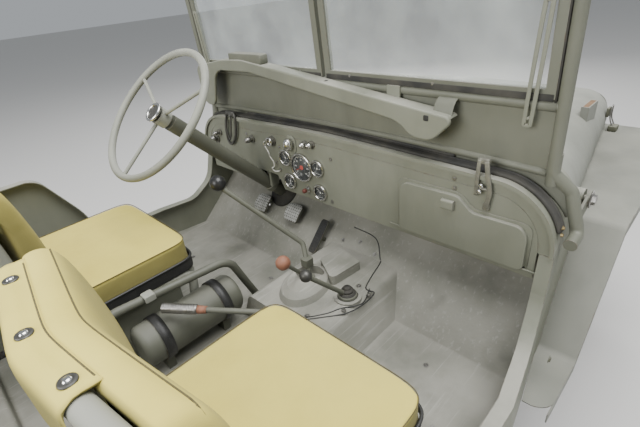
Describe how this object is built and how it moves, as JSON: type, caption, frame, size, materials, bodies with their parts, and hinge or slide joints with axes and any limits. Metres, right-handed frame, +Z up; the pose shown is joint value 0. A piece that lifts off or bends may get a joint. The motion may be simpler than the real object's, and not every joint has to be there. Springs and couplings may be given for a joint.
{
  "type": "army 4x4 car",
  "caption": "Open military four-wheel-drive car: steel tub, flat fenders, slotted grille, folding windshield, canvas seats, spare wheel.",
  "frame": {"origin": "on the ground, at the middle of the overall length and width", "axes": "+X forward, +Y to the driver's left, +Z up"},
  "size_m": [3.327, 1.575, 1.6125],
  "materials": {
    "paint": "matt olive drab, worn and dusty",
    "frame": "matt dark olive, dusty",
    "floor": "olive drab worn to grey, dusty",
    "fenders": "olive drab bleached to light grey on top",
    "engine": "painted cast iron, oily",
    "exhaust": "heat-browned steel",
    "radiator": "matt black",
    "tyre": "black, dusty",
    "dials": "black dial cases with bright rims",
    "lamps": "bright reflectors in olive shells",
    "glass": "clear, slightly dusty",
    "canvas": "khaki canvas",
    "wheel_rim": "olive, worn",
    "controls": "dark olive and black"
  },
  "bodies": {
    "tub": {"chassis_frame": "frame", "front_bumper": "paint", "front_axle": "frame", "rear_axle": "frame", "engine_and_drive": "engine", "exhaust": "exhaust", "radiator": "radiator", "spare_rim": "paint", "spare_tyre": "tyre", "tub_floor": "floor", "cowl": "paint", "side_left": "paint", "side_right": "paint", "wheel_houses": "paint", "rear_panel": "paint", "dash_panel": "paint", "instruments": "dials", "grille": "paint", "lamps": "lamps", "fenders": "fenders", "driver_seat_frame": "paint", "driver_cushions": "canvas", "rear_seat_frame": "paint", "rear_cushions": "canvas", "fuel_tank": "paint", "driver_controls": "controls", "gap_fittings": "paint"},
    "knuckle_left": {"knuckle_left": "frame"},
    "knuckle_right": {"knuckle_right": "frame"},
    "wheel_front_left": {"front_left_rim": "paint", "front_left_tyre": "tyre"},
    "wheel_front_right": {"front_right_rim": "paint", "front_right_tyre": "tyre"},
    "wheel_rear_left": {"rear_left_rim": "paint", "rear_left_tyre": "tyre"},
    "wheel_rear_right": {"rear_right_rim": "paint", "rear_right_tyre": "tyre"},
    "windshield": {"windshield_frame": "paint", "windshield_glass": "glass", "holder_tray": "paint"},
    "hood": {"hood": "paint"},
    "glovebox_door": {"glovebox_door": "paint"},
    "passenger_seat": {"passenger_seat_frame": "paint", "passenger_cushions": "canvas"},
    "steering_wheel": {"steering_wheel": "wheel_rim"}
  },
  "joints": [
    {"name": "steer_left", "type": "hinge", "parent": "tub", "child": "knuckle_left", "pos_m": [1.1305, 0.53, 0.362], "axis": [0, 0, 1], "range_deg": [-27, 27]},
    {"name": "steer_right", "type": "hinge", "parent": "tub", "child": "knuckle_right", "pos_m": [1.1305, -0.53, 0.362], "axis": [0, 0, 1], "range_deg": [-27, 27]},
    {"name": "roll_front_left", "type": "hinge", "parent": "knuckle_left", "child": "wheel_front_left", "pos_m": [1.1305, 0.622, 0.362], "axis": [0, 1, 0], "continuous": true},
    {"name": "roll_front_right", "type": "hinge", "parent": "knuckle_right", "child": "wheel_front_right", "pos_m": [1.1305, -0.622, 0.362], "axis": [0, 1, 0], "continuous": true},
    {"name": "roll_rear_left", "type": "hinge", "parent": "tub", "child": "wheel_rear_left", "pos_m": [-0.9015, 0.622, 0.362], "axis": [0, 1, 0], "continuous": true},
    {"name": "roll_rear_right", "type": "hinge", "parent": "tub", "child": "wheel_rear_right", "pos_m": [-0.9015, -0.622, 0.362], "axis": [0, 1, 0], "continuous": true},
    {"name": "steering_wheel_turn", "type": "hinge", "parent": "tub", "child": "steering_wheel", "pos_m": [0.035, 0.331, 1.158], "axis": [-0.7071, 0, 0.7071], "range_deg": [-378, 378]},
    {"name": "windshield_fold", "type": "hinge", "parent": "tub", "child": "windshield", "pos_m": [0.536, 0, 0.958], "axis": [0, -1, 0], "range_deg": [-94, 0]},
    {"name": "hood_open", "type": "hinge", "parent": "tub", "child": "hood", "pos_m": [0.604, 0, 1.052], "axis": [0, -1, 0], "range_deg": [0, 95]},
    {"name": "passenger_seat_tilt", "type": "hinge", "parent": "tub", "child": "passenger_seat", "pos_m": [-0.09, -0.44, 0.582], "axis": [0, 1, 0], "range_deg": [0, 45]},
    {"name": "glovebox_open", "type": "hinge", "parent": "tub", "child": "glovebox_door", "pos_m": [0.384, -0.466, 0.814], "axis": [0, -1, 0], "range_deg": [0, 85]}
  ],
  "couplings": [
    {"joint": "steer_right", "follows": "steer_left", "ratio": 1},
    {"joint": "steering_wheel_turn", "follows": "steer_left", "ratio": 14}
  ]
}
